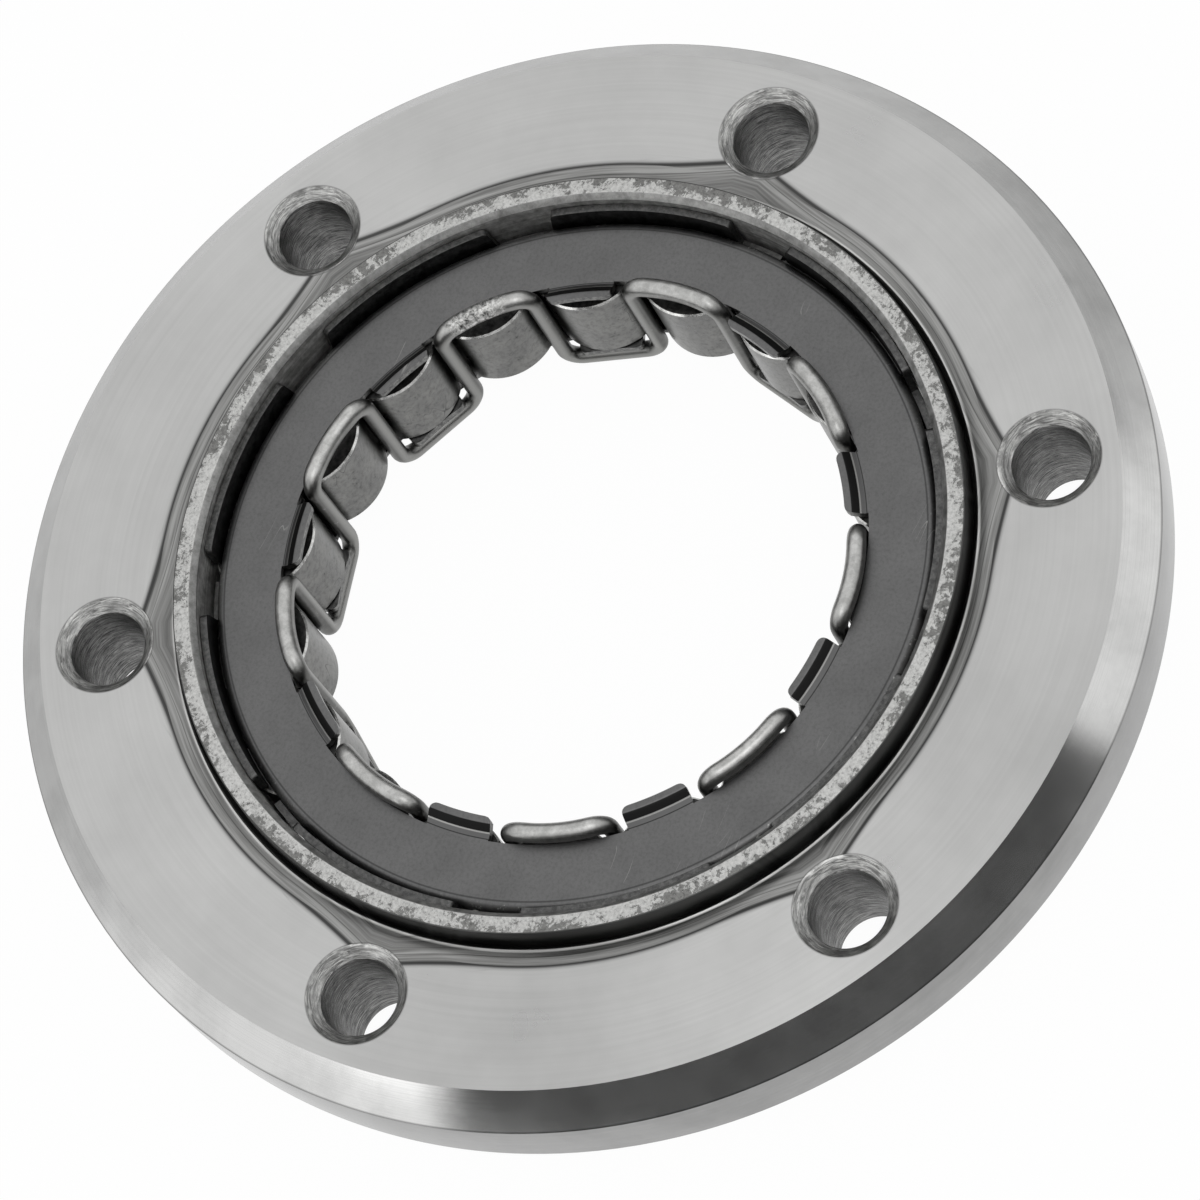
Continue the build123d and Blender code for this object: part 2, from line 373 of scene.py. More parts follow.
def edgeGap(x, y):
    # distance outside the rolled edge: r - groove - flare (1 - a / reach)^power, with a the angle from the hole
    h = housing
    past = h["flareReachDeg"] - np.degrees(np.abs(np.arctan2(y, x)))
    share = np.clip(past / (h["flareReachDeg"] - h["flareTopDeg"]), 0, 1.15)
    return np.hypot(x, y) - h["grooveR"] - h["flare"] * share**h["flarePower"]


def reliefDepth(x, y):
    # how far the face has rolled off: nothing outside the edge, the full depth a little way inside it
    h = housing
    share = np.clip(1 - (edgeGap(x, y) + h["reliefWidth"] / 2) / h["reliefWidth"], 0, 1)
    return h["reliefDepth"] * share * share * (3 - 2 * share)


def sectorEdge(innerR, outerR, side):
    # the closed edge of one sector about a hole on the X axis, counter-clockwise from the inner arc's start
    across = np.linspace(innerR, outerR, housing["sideSteps"] + 1)
    runs = [polar(innerR, side), polar(across, side[-1]), polar(outerR, side)[::-1], polar(across, -side[-1])[::-1]]
    return np.concatenate([run[:-1] for run in runs])


def holeTurns(innerR, side):
    # the angle about the hole at which each column starts, taken towards an edge drawn a little further in
    edge = sectorEdge(min(innerR, housing["fanR"]), housing["faceR"], side)
    return np.unwrap(np.arctan2(edge[:, 1], edge[:, 0] - housing["holeCircleR"]))


def holedSector(innerR, side, rings, front):
    # rings of points from the hole's wall out to the sector's edge: p = ring + t (edge - ring), t from 0 to 1
    h = housing
    sinkRings = np.linspace(h["holeR"], h["sinkR"], h["sinkRings"])
    sinkDepth = h["sinkH"] * (1 - (sinkRings - h["holeR"]) / (h["sinkR"] - h["holeR"]))
    sink = np.array([h["holeCircleR"], 0]) + polar(1, holeTurns(innerR, side)) * sinkRings[:, None, None]
    t = np.linspace(0, 1, rings + 1)[1:]
    t = t + 0.12 * np.sin(2 * np.pi * t) / np.pi  # rings a little closer at both ends
    spread = sink[-1] + t[:, None, None] * (sectorEdge(innerR, h["faceR"], side) - sink[-1])
    points = np.concatenate([sink, spread])
    z = np.concatenate([sinkDepth, 0 * t])[:, None] + 0 * points[..., 0]
    if front:
        z = h["faceZ"] - np.maximum(z, reliefDepth(points[..., 0], points[..., 1]))
    solid = lifted(points, z)
    last = h["sinkRings"] - 1
    return [patch(solid[:last + 1], True, slot=raceSlot["hole"]), patch(solid[last:], True, slot=raceSlot["face"])]


def makeHousing(looks):
    # both faces from sectors about the holes, the holes' walls, then profiles (r, z) carried round the axis
    h = housing
    half = math.pi / h["holes"]
    s = np.linspace(-1, 1, h["arcSteps"] + 1)
    side = half * (0.45 * s + 0.55 * s**3)  # columns crowd towards the hole
    columns = np.concatenate([side[:-1] + k * 2 * half for k in range(h["holes"])])
    sectors = [k * 360 / h["holes"] for k in range(h["holes"])]
    edgeR = h["boreR"] + h["boreEdge"]
    front = holedSector(h["grooveR"], side, h["faceRings"], True)
    back = holedSector(edgeR, side, h["backRings"], False)
    # hole walls, from the front sink's foot to the back one's
    share = np.linspace(0, 1, h["wallRings"] + 1)[:, None]
    turn = (1 - share) * holeTurns(h["grooveR"], side) + share * holeTurns(edgeR, side)
    height = h["faceZ"] - h["sinkH"] - share * (h["faceZ"] - 2 * h["sinkH"])
    wall = lifted(polar(h["holeR"], turn) + [h["holeCircleR"], 0], height)
    patches = repeated(front + back, sectors) + repeated([patch(wall, True, slot=raceSlot["hole"])], sectors)

    def addRing(profile, slotName):
        patches.append(patch(lathe(profile, columns), True, slot=raceSlot[slotName]))

    # groove, whose outer edge follows the rolled face, then the collar's wall, end and bore
    foot = [(h["collarR"] + h["collarLean"], h["footZ"])]
    section = [(h["grooveR"] + r, h["faceZ"] + z) for r, z, _ in h["groove"]]
    arc = rounded(section + foot, [radius for *_, radius in h["groove"]] + [0], steps=6)
    groove = lathe(arc, columns)
    within = (columns + half) % (2 * half) - half
    rolled = reliefDepth(h["grooveR"] * np.cos(within), h["grooveR"] * np.sin(within))
    groove[..., 2] -= rolled * np.clip(1 - (h["grooveR"] - arc[:, 0, None]) / 0.5, 0, 1)
    patches.append(patch(groove, True, slot=raceSlot["groove"]))
    collar = rounded([arc[-1], (h["collarR"], h["collarTop"]), (edgeR, h["collarTop"]),
                      (h["boreR"], h["collarTop"] - h["boreEdge"]), (h["boreR"], h["boreMidZ"])],
                     [0, h["collarEdge"], 0.1, 0.12, 0])
    addRing(np.concatenate([np.linspace(collar[0], collar[1], 6)[:-1], collar[1:6]]), "groove")
    addRing(collar[5:7], "collar")
    addRing(collar[6:], "bore")
    addRing(rounded([(h["boreR"], h["boreMidZ"]), (h["boreR"], h["boreEdge"]), (edgeR, 0)], [0, 0.12, 0]), "bore")
    addRing(rounded([(h["faceR"], 0), (h["rimR"], h["rearBevel"]), (h["rimR"], h["faceZ"] - h["frontBevel"]),
                     (h["faceR"], h["faceZ"])], [0, h["edgeRound"], h["edgeRound"], 0]), "edge")
    mesh = makePiece("outerRace", patches, looks, "housing", ["flange_housing"]).data
    # two distances go with the mesh, in mm, for the finishes: from the rolled edge, which the back hasn't, and from the
    # nearest sink's edge
    flat = np.empty(3 * len(mesh.vertices), np.float32)
    mesh.vertices.foreach_get("co", flat)
    x, y, z = flat.reshape(-1, 3).T / mm
    r, folded = np.hypot(x, y), (np.arctan2(y, x) + half) % (2 * half) - half
    x, y = r * np.cos(folded), r * np.sin(folded)
    pointValues(mesh, "edgeGap", np.where(z > h["faceZ"] / 2, edgeGap(x, y), h["rimR"]))
    pointValues(mesh, "sinkGap", np.hypot(x - h["holeCircleR"], y) - h["sinkR"])


# meander spring: one closed round wire

spring = {
    "wireR": 0.925, "pathR": 31.1, "frontZ": 15.8, "rearZ": 1.1, "bendR": 1.9,
    "crossingOut": 0.12, "crossingDrop": 0.2, "crossingFull": 0.12,
    "firstDeg": 3.5, "legDeg": 10, "periods": 9, "bendSteps": 10, "runSteps": 6, "roundSteps": 20,
}
pitchDeg = 360 / spring["periods"]  # two sprags, one tongue, one head


def springPath():
    # legs, straight rear crossings, front crossings that bow out along the plate's edge, a quarter turn at each corner
    s = spring
    half = math.radians(s["legDeg"])
    low, high = s["rearZ"], s["frontZ"]

    def at(angle, z, radius=s["pathR"]):
        return lifted(polar(radius, angle), z)

    def quarter(before, corner, after):
        back, ahead = unit(before - corner) * s["bendR"], unit(after - corner) * s["bendR"]
        turn = np.linspace(0, math.pi / 2, s["bendSteps"] + 1)[:, None]
        return corner + back * (1 - np.sin(turn)) + ahead * (1 - np.cos(turn))

    crown = at(0, high, s["pathR"] / math.cos(half))
    right = quarter(at(-half, low), at(-half, high), crown)
    left = quarter(crown, at(half, high), at(half, low))
    # the bow is an arc about a point on the crossing's middle line, touching both bends
    bowR = right[-1, 1] / -math.sin(half)
    swing = np.linspace(-half, half, 2 * s["runSteps"] + 1)[1:-1]
    bow = lifted(polar(bowR, swing) + [right[-1, 0] - bowR * math.cos(half), 0], high)
    rightFoot = quarter(at(-3 * half, low), at(-half, low), at(-half, high))
    leftFoot = quarter(at(half, high), at(half, low), at(3 * half, low))
    share = np.linspace(0, 1, s["runSteps"] + 1)[1:-1, None]
    up = rightFoot[-1] + share * (right[0] - rightFoot[-1])
    down = left[-1] + share * (leftFoot[0] - left[-1])
    behind = leftFoot[-1] + share * (turned(rightFoot, 4 * s["legDeg"])[0] - leftFoot[-1])
    period = np.concatenate([rightFoot, up, right, bow, left, down, leftFoot, behind])
    return np.concatenate([turned(period, s["firstDeg"] + k * pitchDeg) for k in range(s["periods"])])


def makeSpring(looks):
    # a circle carried along the path, square to it, with one of its axes held towards the clutch's axis
    s = spring
    path = springPath()
    along = unit(np.roll(path, -1, 0) - np.roll(path, 1, 0))
    out = unit(path * [1, 1, 0])
    out = unit(out - along * (out * along).sum(1)[:, None])
    turn = np.linspace(0, 2 * math.pi, s["roundSteps"], endpoint=False)[:, None]
    ring = out[:, None] * np.cos(turn) + np.cross(along, out)[:, None] * np.sin(turn)
    # pressed flat on the arbor, the front crossings are a little fuller and sit lower and further out
    crossing = np.clip((path[:, 2] - s["frontZ"] + s["bendR"]) / s["bendR"], 0, 1)[:, None] ** 2
    path = path + crossing * (s["crossingOut"] * out - np.array([0, 0, s["crossingDrop"]]))
    points = path[:, None] + s["wireR"] * (1 + s["crossingFull"] * crossing[:, None]) * ring
    points = np.concatenate([points, points[:1]])
    makePiece("springWire", [patch(points, True)], looks, "cage", ["meander_spring"])


# sprags

sprag = {
    "count": 18, "firstDeg": 3.5, "bottom": 3.4, "length": 10.1, "edge": 0.2,
    "innerReach": 29.65, "innerCamR": 6.35, "innerHalfDeg": 55,
    "outerCamR": 5.5, "pivotR": 35.1, "offset": 1.2, "outerHalfDeg": 44.5,
    "waistR": 35.3, "waistSides": (3.95, -2.7), "camSteps": 12, "sideSteps": 14, "across": 10,
}


def spragSides():
    # the section's two long sides, each from the middle of the inner cam to the middle of the outer cam
    s = sprag
    innerAt = np.array([s["innerReach"] + s["innerCamR"], 0])
    outerAt = np.array([s["pivotR"], s["offset"]])
    turnIn = math.pi - np.linspace(0, math.radians(s["innerHalfDeg"]), s["camSteps"] + 1)
    turnOut = np.linspace(math.radians(s["outerHalfDeg"]), 0, s["camSteps"] + 1)
    sides = []
    for sign, waist in zip((1, -1), s["waistSides"]):
        near = innerAt + polar(s["innerCamR"], turnIn) * [1, sign]
        far = outerAt + polar(s["outerCamR"], turnOut) * [1, sign]
        flank = arcThrough(near[-1], (s["waistR"], waist), far[0], s["sideSteps"])
        sides.append(np.concatenate([near[:-1], flank[:-1], far]))
    return sides


def makeSprags(looks):
    # walls between two broken edges, and ends drawn across the section from one long side to the other
    s = sprag
    left, right = spragSides()
    loop = np.concatenate([right, left[::-1][1:-1]])
    inner = inset(loop, s["edge"])
    count = len(right)
    low, high = inner[:count], np.concatenate([inner[:1], inner[count:][::-1], inner[count - 1:count]])
    cap = low + np.linspace(0, 1, s["across"] + 1)[:, None, None] * (high - low)
    top, bottom, edge = s["bottom"] + s["length"], s["bottom"], s["edge"]
    middle = np.stack([lifted(loop, z) for z in np.linspace(bottom + edge, top - edge, 5)])
    patches = [
        patch(lifted(cap, bottom), slot=1), patch(lifted(cap, top), slot=1),
        patch(np.stack([lifted(inner, bottom), lifted(loop, bottom + edge)]), True, slot=2), patch(middle, True),
        patch(np.stack([lifted(loop, top - edge), lifted(inner, top)]), True, slot=2),
    ]
    for k in range(s["count"]):
        name = f"sprag_{k + 1:02d}"
        turnedOnes = repeated(patches, [s["firstDeg"] + k * 360 / s["count"]])
        makePiece(f"spragBody{k + 1:02d}", turnedOnes, looks, name, [name], 30)


# pressed sheet pieces: a grid over the sheet's middle surface, cut to shape, then given its thickness

sheet = {"thick": 0.8, "edgeRound": 0.11}


def finishSheet(made):
    wall = made.modifiers.new("sheetThickness", "SOLIDIFY")
    wall.thickness = sheet["thick"] * mm
    wall.offset = 0
    wall.material_offset_rim = 1
    edge = made.modifiers.new("punchedEdge", "BEVEL")
    edge.width = sheet["edgeRound"] * mm
    edge.segments = 2
    edge.limit_method = "ANGLE"
    edge.angle_limit = math.radians(50)
    edge.harden_normals = True


def columnsWith(keys, step):
    # angles over one pitch with every key angle in them and no gap wider than a step
    stops = np.unique(np.round([-pitchDeg / 2, *keys, pitchDeg / 2], 6))
    runs = [np.linspace(a, b, max(1, math.ceil((b - a) / step)) + 1)[:-1] for a, b in zip(stops, stops[1:])]
    return np.concatenate(runs + [stops[-1:]])


plate = {
    "boreR": 32.25, "outerR": 39.5, "topZ": 14.6, "bottomZ": 2.3, "rimBendR": 0.95, "barW": 3.0, "slotGap": 0.05,
    "tongueDeg": 23.5, "barDeg": 15.458, "tongueW": 7.2, "tongueTipR": 29.95, "cornerR": 0.9,
    "slopeStartR": 31.85, "slopeEndR": 31.3, "slopeRise": 0.37, "stepRun": 0.75, "stepRise": 0.63,
}


def tonguePatch(columns, baseZ, up):
    # strips of equal width that leave the plate's edge, rise on a slope and a step (or lie flat), to a rounded tip
    p = plate
    slope, top = up * p["slopeRise"], up * (p["slopeRise"] + p["stepRise"])
    line = rounded([(p["boreR"], 0), (p["slopeStartR"], 0), (p["slopeEndR"], slope),
                    (p["slopeEndR"] - p["stepRun"], top), (p["tongueTipR"] + 0.36 * p["cornerR"], top)],
                   [0, 0.12 * up, 0.12 * up, 0.3 * up, 0], steps=3)
    tip = np.array([(p["tongueTipR"] + d * p["cornerR"], top) for d in (0.24, 0.14, 0.06, 0.0)])
    line = np.concatenate([line, tip])
    fromTip = np.clip(line[:, 0] - p["tongueTipR"], 0, p["cornerR"])
    narrow = p["cornerR"] - np.sqrt(p["cornerR"]**2 - (p["cornerR"] - fromTip)**2)
    y = p["boreR"] * np.sin(np.radians(columns)) * (1 - 2 * narrow[:, None] / p["tongueW"])
    return patch(lifted(np.stack([np.sqrt(line[:, 0, None]**2 - y**2), y], -1), baseZ + line[:, 1, None]))


def makePlate(name, node, looks, profile, cutRows, barHalfW, cutsBars, stepDeg, up):
    # one ninth about a tongue, repeated. The cut rows of the profile are left out in the bars, or all but there
    p = plate
    tongueHalf = math.degrees(math.asin(p["tongueW"] / 2 / p["boreR"]))
    barHalf = math.degrees(barHalfW / p["outerR"])
    bars = [p["barDeg"] - p["tongueDeg"] + k * pitchDeg / 2 for k in (0, 1)]
    columns = columnsWith([b + e for b in bars for e in (-barHalf, barHalf)] + [-tongueHalf, tongueHalf], stepDeg)
    middle = (columns[1:] + columns[:-1]) / 2
    inBar = np.any([np.abs(middle - b) < barHalf for b in bars], axis=0)
    keep = ~(cutRows[:, None] & (inBar == cutsBars))
    patches = [patch(lathe(profile, np.radians(columns)), keep=keep),
               tonguePatch(columns[np.abs(columns) < tongueHalf + 0.001], profile[0, 1], up)]
    angles = [p["tongueDeg"] + k * pitchDeg for k in range(spring["periods"])]
    finishSheet(makePiece(name, repeated(patches, angles), looks, "cage", [node]))


def makeFrontPlate(looks):
    # a flat ring drawn down at its rim into bars
    p = plate
    midZ = p["topZ"] - sheet["thick"] / 2
    wallR = p["outerR"] - sheet["thick"] / 2
    bend = rounded([(p["boreR"], midZ), (wallR, midZ), (wallR, p["bottomZ"])],
                   [0, p["rimBendR"] - sheet["thick"] / 2, 0], steps=5)
    profile = np.concatenate([np.linspace(bend[0], bend[1], 9), bend[2:-2], np.linspace(bend[-2], bend[-1], 7)])
    isWall = profile[1:, 1] < p["topZ"] - p["rimBendR"] - 0.01
    makePlate("frontPlate", "inner_cage", looks, profile, isWall, p["barW"] / 2, cutsBars=False, stepDeg=1.4, up=1)


def makeRearPlate(looks):
    # a flat ring with a slot at its rim for each bar
    p = plate
    rows = np.array([p["boreR"], 33.5, 35, 36.5, 37.8, p["outerR"] - sheet["thick"] - p["slotGap"], p["outerR"]])
    profile = np.stack([rows, 0 * rows + p["bottomZ"] + sheet["thick"] / 2], -1)
    isRim = np.arange(len(rows) - 1) == len(rows) - 2
    makePlate("rearPlate", "rear_plate", looks, profile, isRim, p["barW"] / 2 + p["slotGap"], cutsBars=True,
              stepDeg=1.6, up=0)


cage = {
    "outerR": 40.4, "lipR": 37.0, "lipZ": 1.85, "bendR": 0.95,
    "windowLow": 3.1, "windowHigh": 13.8, "windowHalf": 3.691,
    "headTop": 16.4, "headDeg": 29.5, "headTaper": 0.6, "headSplay": 0.2, "headRoot": 1.2, "headCornerR": 0.5,
}


def makeOuterCage(looks):
    # one ninth about the gap between two heads, with half a head, a post and a window on each side of it
    c = cage
    wallR = c["outerR"] - sheet["thick"] / 2
    root, rise = c["windowHigh"] - c["headRoot"], c["headTop"] - c["windowHigh"]
    bend = rounded([(c["lipR"], c["lipZ"]), (wallR, c["lipZ"]), (wallR, c["windowLow"])],
                   [0, c["bendR"] - sheet["thick"] / 2, 0], steps=5)
    postZ = np.append(np.linspace(c["windowLow"], root, 7)[1:], c["windowHigh"])
    steps = np.append(np.linspace(0, rise - c["headCornerR"], 5)[1:],
                      rise - c["headCornerR"] * np.array([0.76, 0.5, 0.3, 0.13, 0.03, 0]))
    heads = np.stack([wallR + c["headSplay"] * steps / rise, c["windowHigh"] + steps], -1)
    profile = np.concatenate([np.linspace(bend[0], bend[1], 6)[:-1], bend[1:],
                              np.stack([0 * postZ + wallR, postZ], -1), heads])
    # columns are measured from the gap's middle; the windows' sides and the gap's own are key angles
    across = np.degrees(np.arcsin((sprag["offset"] + np.array([-1, 1]) * c["windowHalf"]) / c["outerR"]))
    windows = [centre + across for centre in (-pitchDeg / 4, pitchDeg / 4)]
    gapEdge = (pitchDeg - c["headDeg"]) / 2
    columns = columnsWith([*windows[0], *windows[1], -gapEdge, gapEdge], 1.4)
    # head sides lean out towards their foot, and the top corners are round
    z = profile[:, 1, None]
    lean = np.clip((c["headTop"] - z) / (c["headTop"] - root), 0, 1) * c["headTaper"]
    fromTop = np.clip(c["headTop"] - z, 0, c["headCornerR"])
    roundOff = c["headCornerR"] - np.sqrt(c["headCornerR"]**2 - (c["headCornerR"] - fromTop)**2)
    gap, limit = np.radians(gapEdge), np.radians(pitchDeg / 2)
    edge = np.where(z > root - 0.01, gap - (lean - roundOff) / c["outerR"], gap)
    # each row's columns slide so that the gap's side lies at that row's edge: two straight scales, one on each side
    size = np.abs(np.radians(columns)) + 0 * z
    slid = np.where(size <= gap, size * edge / gap, edge + (size - gap) * (limit - edge) / (limit - gap))
    points = lathe(profile, np.sign(columns) * slid)
    middle = (columns[1:] + columns[:-1]) / 2
    rowZ = (profile[1:, 1] + profile[:-1, 1]) / 2
    inWindow = np.any([(middle > a) & (middle < b) for a, b in windows], axis=0)
    windowRow = (rowZ > c["windowLow"]) & (rowZ < c["windowHigh"])
    keep = ~((windowRow[:, None] & inWindow) | ((rowZ > root)[:, None] & (np.abs(middle) < gapEdge)))
    angles = [sprag["firstDeg"] + (k + 0.75) * pitchDeg for k in range(spring["periods"])]
    patches = repeated([patch(points, keep=keep)], angles)
    finishSheet(makePiece("outerCage", patches, looks, "cage", ["outer_cage"]))


# finishes

def steelLook(name, across=0.0):
    # bare metal; across says how much wider it spreads light across its turning lines than along them
    look = bpy.data.materials.new(name)
    look.use_nodes = True
    tree = look.node_tree
    shader = tree.nodes["Principled BSDF"]
    shader.inputs["Metallic"].default_value = 1.0
    shader.inputs["Anisotropic"].default_value = across
    return look, tree, shader


def placesOn(tree, shader, turnedPart=False):
    # where a point is, in mm: the point, its distance r from the axis, its direction from the axis and its height z.
    # On a turned part the tangent runs across the turning lines: outwards on a face, downwards on a wall
    coords = addNode(tree, "TexCoord", out="Object")
    point = addNode(tree, "VectorMath", {0: coords, "Scale": 1 / mm}, operation="SCALE")
    split = addNode(tree, "SeparateXYZ", (point,)).node.outputs
    flat = addNode(tree, "CombineXYZ", (split["X"], split["Y"]))
    reach = addNode(tree, "VectorMath", (flat,), "Value", operation="LENGTH")
    way = addNode(tree, "VectorMath", (flat,), operation="NORMALIZE")
    if turnedPart:
        down = addNode(tree, "VectorMath", (way, (0, 0, -1)), operation="ADD")
        tangent = addNode(tree, "VectorTransform", (down,), vector_type="VECTOR", convert_from="OBJECT",
                          convert_to="WORLD")
        tree.links.new(tangent, shader.inputs["Tangent"])
    rows = addNode(tree, "Math", (split["Z"], -1.3, reach), operation="MULTIPLY_ADD")
    return {"point": point, "r": reach, "z": split["Z"], "way": way, "rows": rows}


def ringNoise(tree, spots, rows, perMm, arcs, detail):
    # noise drawn out along the turning: direction u at row value w reads the noise at arcs u + (0, 0, perMm w)
    along = addNode(tree, "VectorMath", {0: spots["way"], "Scale": arcs}, operation="SCALE")
    level = addNode(tree, "CombineXYZ", {"Z": addNode(tree, "Math", (rows, perMm), operation="MULTIPLY")})
    where = addNode(tree, "VectorMath", (along, level), operation="ADD")
    return addNode(tree, "TexNoise", {"Vector": where, "Scale": 1.0, "Detail": detail, "Roughness": 0.6})


def scratchLines(tree, spots, size, turnDeg, squeeze, width, cover):
    # hair lines: where a stretched noise crosses its middle value, kept only where a second, wide noise is high
    laid = addNode(tree, "Mapping", {"Vector": spots["point"], "Rotation": (0, 0, math.radians(turnDeg)),
                                     "Scale": (1 / size, squeeze / size, 1 / size)})
    wander = addNode(tree, "TexNoise", {"Vector": laid, "Scale": 1.0, "Detail": 1.0, "Roughness": 0.5})
    off = addNode(tree, "Math", (addNode(tree, "Math", (wander, 0.5), operation="SUBTRACT"),), operation="ABSOLUTE")
    line = addNode(tree, "MapRange", (off, 0.0, width, 1.0, 0.0))
    where = addNode(tree, "TexNoise", {"Vector": spots["point"], "Scale": 0.11, "Detail": 1.0})
    kept = addNode(tree, "MapRange", (where, cover, cover + 0.03))
    return addNode(tree, "Math", (line, kept), operation="MULTIPLY")


def finishWith(tree, shader, colour, layers, wear, rough, height, depth):
    # layers (share, tone, how) are laid over the colour in turn, the roughness follows the wear from 0.3 to 0.7, and
    # the height is a bump of a depth in mm
    for share, tone, how in layers:
        tone = linear(tone) if isinstance(tone, str) else tone
        colour = addNode(tree, "Mix", {0: share, 6: colour, 7: tone}, 2, data_type="RGBA", blend_type=how)
    spread = addNode(tree, "MapRange", (wear, 0.3, 0.7, *rough))
    bump = addNode(tree, "Bump", {"Height": height, "Strength": 1.0, "Distance": depth * mm})
    for name, made in (("Base Color", colour), ("Roughness", spread), ("Normal", bump)):
        tree.links.new(made, shader.inputs[name])


raceSteel = {
    "face": ("#c1c1c0", "#c7c7c6"), "faceRough": (0.27, 0.34), "faceAcross": 0.85, "faceRowsPerMm": 2.6,
    "edge": ("#cececd", "#d6d6d5"), "edgeRough": (0.155, 0.175), "edgeRowsPerMm": 6.0, "rim": "#b6b6b6", "rimR": 62.3,
    "groove": ("#a6a6a4", "#e4e4e2"), "grooveRough": (0.28, 0.4), "grooveRowsPerMm": 2.4,
    "slopeGap": (-2.5, 0.0), "footR": (43.3, 44.5),
    "collar": ("#cacac8", "#929290"), "collarRough": (0.32, 0.46), "collarR": (41.3, 43.15), "islandMm": 1.15,
    "bore": ("#a2a2a0", "#e2e2e0"), "boreRough": (0.42, 0.55), "boreRowsPerMm": 2.2, "brokenZ": 17.05,
    "hole": ("#464645", "#979796", "#e2e2e0"), "holeRough": (0.34, 0.5), "holeDeepZ": (13.6, 15.2),
    "scoreMm": 0.15, "sinkZ": 14.5,
}


def grooveTone(tree, spots, gap):
    # turning rings that follow the edge, rows being the distance from it, with a tool line half way down the slope and
    # painted shade darkening it at the outer edge. By the collar the foot's lip keeps a painted highlight, and the wall
    # beside it is darkened with painted shade
    rings = ringNoise(tree, spots, gap, raceSteel["grooveRowsPerMm"], arcs=3.0, detail=3.0)
    colour = addNode(tree, "ValToRGB", (rings,), stops=list(zip((0.34, 0.62), raceSteel["groove"])))
    slope = addNode(tree, "ValToRGB", (addNode(tree, "MapRange", (gap, *raceSteel["slopeGap"])),),
                    stops=[(0.0, "#d8d8d8"), (0.4, "#f0f0f0"), (0.555, "#ffffff"), (0.585, "#b0b0b0"),
                           (0.62, "#ffffff"), (0.93, "#fafafa"), (1.0, "#c0c0c0")])
    # painted highlight along the foot's lip, painted shade on the collar's wall and the groove beside it
    foot = addNode(tree, "ValToRGB", (addNode(tree, "MapRange", (spots["r"], *raceSteel["footR"])),),
                   stops=[(0.0, "#808080"), (0.38, "#9a9a9a"), (0.47, "#ffffff"), (0.66, "#ffffff"),
                          (0.76, "#b8b8b8"), (1.0, "#b8b8b8")])
    bands = addNode(tree, "Mix", {0: 1.0, 6: slope, 7: foot}, 2, data_type="RGBA", blend_type="MULTIPLY")
    colour = addNode(tree, "Mix", {0: 1.0, 6: colour, 7: bands}, 2, data_type="RGBA", blend_type="MULTIPLY")
    return colour, rings


def makeFaceLook():
    # hardened bearing steel, faced then ground: pale, softly glossy, with faint rings, painted shade in a dark line
    # along the edge at the groove, and a dark line round the sinks. Real grinding rows are 0.05 mm apart; they are
    # drawn
    # 0.4 mm apart to show
    look, tree, shader = steelLook("groundSteelFace", raceSteel["faceAcross"])
    spots = placesOn(tree, shader, True)
    rings = ringNoise(tree, spots, spots["rows"], raceSteel["faceRowsPerMm"], arcs=1.4, detail=4.0)
    clouds = addNode(tree, "TexNoise", {"Vector": spots["point"], "Scale": 0.07, "Detail": 4.0, "Roughness": 0.6})
    base = addNode(tree, "ValToRGB", (rings,), stops=list(zip((0.3, 0.7), raceSteel["face"])))
    shade = addNode(tree, "ValToRGB", (clouds,), stops=[(0.3, "#efefef"), (0.65, "#ffffff")])
    gap = addNode(tree, "Attribute", out="Fac", attribute_name="edgeGap")
    rolledTone = grooveTone(tree, spots, gap)[0]
    rolled = addNode(tree, "MapRange", (gap, -0.2, 0.05, 1.0, 0.0))
    # painted shade: a dark line along the edge where the face rolls into the groove
    edgeShadeLine = addNode(tree, "ValToRGB", (addNode(tree, "MapRange", (gap, -0.4, 0.6)),),
                       stops=[(0.0, "#ffffff"), (0.16, "#d0d0d0"), (0.3, "#747474"), (0.5, "#626262"),
                              (0.62, "#aaaaaa"), (0.76, "#e2e2e2"), (1.0, "#ffffff")])
    sinkGap = addNode(tree, "Attribute", out="Fac", attribute_name="sinkGap")
    sinkLine = addNode(tree, "MapRange", (sinkGap, 0.02, 0.16, 0.6, 0.0))
    layers = [(1.0, shade, "MULTIPLY"), (rolled, rolledTone, "MIX"), (1.0, edgeShadeLine, "MULTIPLY"),
              (sinkLine, "#4c4c4b", "MIX")]
    finishWith(tree, shader, base, layers, clouds, raceSteel["faceRough"], rings, depth=0.0015)
    return look


def makeEdgeLook():
    # bevels as turned: brighter than the face, with fine parallel feed lines, real spacing; the rim itself is painted
    # darker as shade
    look, tree, shader = steelLook("turnedSteelEdge", 0.5)
    spots = placesOn(tree, shader, True)
    rings = ringNoise(tree, spots, spots["rows"], raceSteel["edgeRowsPerMm"], arcs=1.1, detail=2.0)
    worn = addNode(tree, "TexNoise", {"Vector": spots["point"], "Scale": 0.16, "Detail": 5.0, "Roughness": 0.6})
    base = addNode(tree, "ValToRGB", (rings,), stops=list(zip((0.36, 0.6), raceSteel["edge"])))
    shade = addNode(tree, "ValToRGB", (worn,), stops=[(0.32, "#ececec"), (0.6, "#ffffff")])
    onRim = addNode(tree, "MapRange", (spots["r"], raceSteel["rimR"], raceSteel["rimR"] + 0.12))
    # the rim's darker tone is painted shade
    layers = [(1.0, shade, "MULTIPLY"), (onRim, raceSteel["rim"], "MULTIPLY")]
    finishWith(tree, shader, base, layers, worn, raceSteel["edgeRough"], rings, depth=0.001)
    return look


